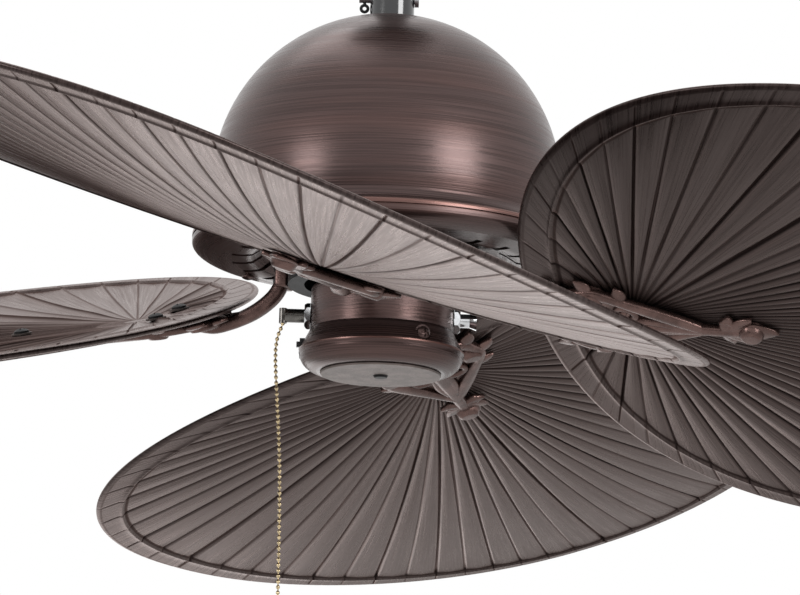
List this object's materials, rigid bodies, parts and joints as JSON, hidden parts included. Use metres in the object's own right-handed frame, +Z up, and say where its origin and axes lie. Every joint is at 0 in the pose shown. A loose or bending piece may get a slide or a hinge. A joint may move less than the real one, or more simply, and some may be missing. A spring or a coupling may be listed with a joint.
{
  "type": "ceiling fan",
  "caption": "Ceiling fan with broad pleated leaf blades on cast irons, a domed motor, a downrod with a ball hanger and a pull chain.",
  "frame": {"origin": "middle of the hanger bracket's top face, at the ceiling", "axes": "+Z up, along the downrod; the pull chain hangs on the -X side and the picture looks along +Y from below"},
  "size_m": [1.2874, 1.2874, 0.5603],
  "materials": {
    "zinc_steel": "bright zinc plate",
    "bronze": "oil-rubbed bronze, fine horizontal brushing, satin",
    "nylon": "moulded nylon, matte",
    "black_gloss": "gloss black enamel",
    "black_steel": "black oxide steel",
    "cast_zinc": "as cast",
    "core_steel": "stacked laminations",
    "copper": "enamelled copper wire",
    "bearing_steel": "ground bearing steel",
    "iron_bronze": "cast, oil-rubbed bronze with a satin sheen",
    "palm_leaf": "moulded leaf with a fine grain, satin, dark brown-grey",
    "fibre": "pressed fibre",
    "brushed_plate": "pale brushed bronze plate",
    "black_plastic": "moulded black plastic",
    "dark_outlet": "dark antique nickel",
    "nickel": "bright nickel plate",
    "brass_chain": "pale brass ball chain"
  },
  "bodies": {
    "ceiling": {"hanger_bracket": "zinc_steel", "canopy": "bronze", "canopy_screws": "bronze"},
    "hung": {"hanger_ball": "nylon", "ball_pin": "zinc_steel", "downrod": "black_gloss", "rod_pin": "zinc_steel", "hairpin_clip": "black_steel", "motor_stem": "black_steel", "crown_flange": "cast_zinc", "dome_nuts": "zinc_steel", "dome": "bronze", "lower_bowl": "bronze", "bowl_screws": "bronze", "motor_shaft": "zinc_steel", "shaft_circlip": "black_steel", "shaft_nut": "zinc_steel", "stator_core": "core_steel", "stator_windings": "copper", "bearing_inner_races": "bearing_steel", "switch_housing": "bronze", "switch_cap": "bronze", "cap_screws": "bronze", "cap_plate": "brushed_plate", "cap_plug": "bronze", "pull_switch": "black_plastic", "chain_outlet_left": "dark_outlet", "chain_outlet_right": "nickel", "outlet_nuts": "nickel", "reverse_switch": "black_plastic", "capacitor": "black_plastic"},
    "rotor": {"bearing_outer_races": "bearing_steel", "bearing_balls": "bearing_steel", "rotor_upper_bell": "cast_zinc", "rotor_lower_bell": "cast_zinc", "rotor_ring": "core_steel", "flywheel": "black_steel", "flywheel_bolts": "zinc_steel", "iron_1": "iron_bronze", "iron_2": "iron_bronze", "iron_3": "iron_bronze", "iron_4": "iron_bronze", "iron_screws": "black_steel", "blade_1": "palm_leaf", "blade_2": "palm_leaf", "blade_3": "palm_leaf", "blade_4": "palm_leaf", "blade_screws": "black_steel", "blade_washers": "fibre"},
    "chain": {"pull_chain": "brass_chain", "chain_fob": "brass_chain"},
    "reverse": {"reverse_knob": "black_plastic"}
  },
  "joints": [
    {"name": "hanger_swing", "type": "hinge", "parent": "ceiling", "child": "hung", "pos_m": [0, 0, -0.032], "axis": [0, 1, 0], "range_deg": [-14, 14]},
    {"name": "rotor_spin", "type": "hinge", "parent": "hung", "child": "rotor", "pos_m": [0, 0, -0.32], "axis": [0, 0, 1], "continuous": true},
    {"name": "chain_pull", "type": "slide", "parent": "hung", "child": "chain", "axis": [0, 0, -1], "range_m": [0, 0.008], "stiffness_N_per_m": 60, "springref_m": -0.004},
    {"name": "reverse_slide", "type": "slide", "parent": "hung", "child": "reverse", "axis": [0, 0, -1], "range_m": [0, 0.0045]}
  ]
}
